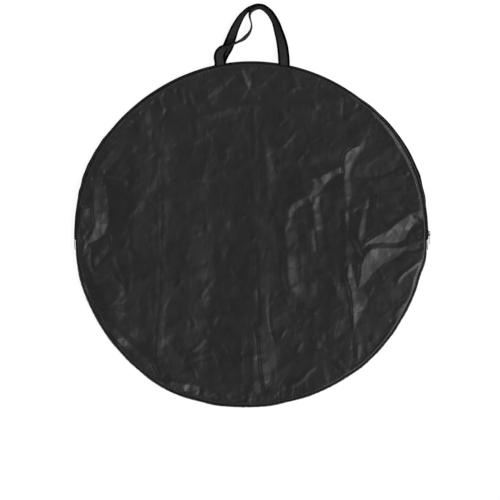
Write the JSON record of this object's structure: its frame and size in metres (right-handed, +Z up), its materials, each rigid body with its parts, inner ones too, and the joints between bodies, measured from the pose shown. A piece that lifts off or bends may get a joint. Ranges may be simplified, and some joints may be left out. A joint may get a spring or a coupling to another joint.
{
  "type": "bike wheel bag",
  "caption": "Round flat fabric bag for a bicycle wheel, with a zipped opening round its upper edge, webbing carry handles and bound seams.",
  "frame": {"origin": "centre of the zip's arc on the back panel's outer face, which lies on the floor", "axes": "+Z up out of the front panel, +Y towards the handles, +X to the right as seen from the front"},
  "size_m": [0.7622, 0.863, 0.0395],
  "materials": {
    "shell_fabric": "plain-woven coated polyester with a slight sheen",
    "binding": "matte woven binding tape",
    "zip_tape": "matte knitted zip tape",
    "zip_coil": "satin nylon coil",
    "zip_metal": "black enamel, semi-gloss",
    "webbing": "ribbed woven webbing"
  },
  "bodies": {
    "bag": {"back_panel": "shell_fabric", "front_panel_lower": "shell_fabric", "lower_gusset": "shell_fabric", "zip_end_tab_left": "shell_fabric", "zip_end_tab_right": "shell_fabric", "back_binding": "binding", "front_binding_lower": "binding", "back_seam_tape": "binding", "front_seam_tape_lower": "binding", "back_zip_tape": "zip_tape", "front_zip_tape_left_end": "zip_tape", "front_zip_tape_right_end": "zip_tape", "back_zip_coil": "zip_coil", "front_zip_coil_left_end": "zip_coil", "front_zip_coil_right_end": "zip_coil", "zip_stop_left": "zip_metal", "zip_stop_right": "zip_metal", "back_handle_foot_left": "webbing", "back_handle_foot_right": "webbing", "back_handle_tail_left": "webbing", "back_handle_tail_right": "webbing"},
    "opening_flap": {"front_panel_flap": "shell_fabric", "front_binding_upper": "binding", "front_seam_tape_upper": "binding", "front_zip_tape": "zip_tape", "front_zip_coil": "zip_coil", "front_handle_foot_left": "webbing", "front_handle_foot_right": "webbing", "front_handle_tail_left": "webbing", "front_handle_tail_right": "webbing"},
    "zip_slider": {"zip_slider_body": "zip_metal"},
    "zip_pull": {"zip_pull_tab": "zip_metal"},
    "front_handle": {"front_handle": "webbing"},
    "back_handle": {"back_handle": "webbing"}
  },
  "joints": [
    {"name": "opening_flap", "type": "hinge", "parent": "bag", "child": "opening_flap", "pos_m": [0, 0.035, 0.0326], "axis": [1, 0, 0], "range_deg": [0, 150]},
    {"name": "zip_slider", "type": "hinge", "parent": "bag", "child": "zip_slider", "pos_m": [0, 0, 0.014], "axis": [0, 0, 1], "range_deg": [0, 176.38]},
    {"name": "zip_pull", "type": "hinge", "parent": "zip_slider", "child": "zip_pull", "pos_m": [0.38096, 0.01204, 0.014], "axis": [0, 0, 1], "range_deg": [0, 175]},
    {"name": "front_handle", "type": "hinge", "parent": "opening_flap", "child": "front_handle", "pos_m": [0, 0.3735, 0.0278], "axis": [1, 0, 0], "range_deg": [0, 155]},
    {"name": "back_handle", "type": "hinge", "parent": "bag", "child": "back_handle", "pos_m": [0, 0.3735, 0.0002], "axis": [1, 0, 0], "range_deg": [-155, 0]}
  ]
}
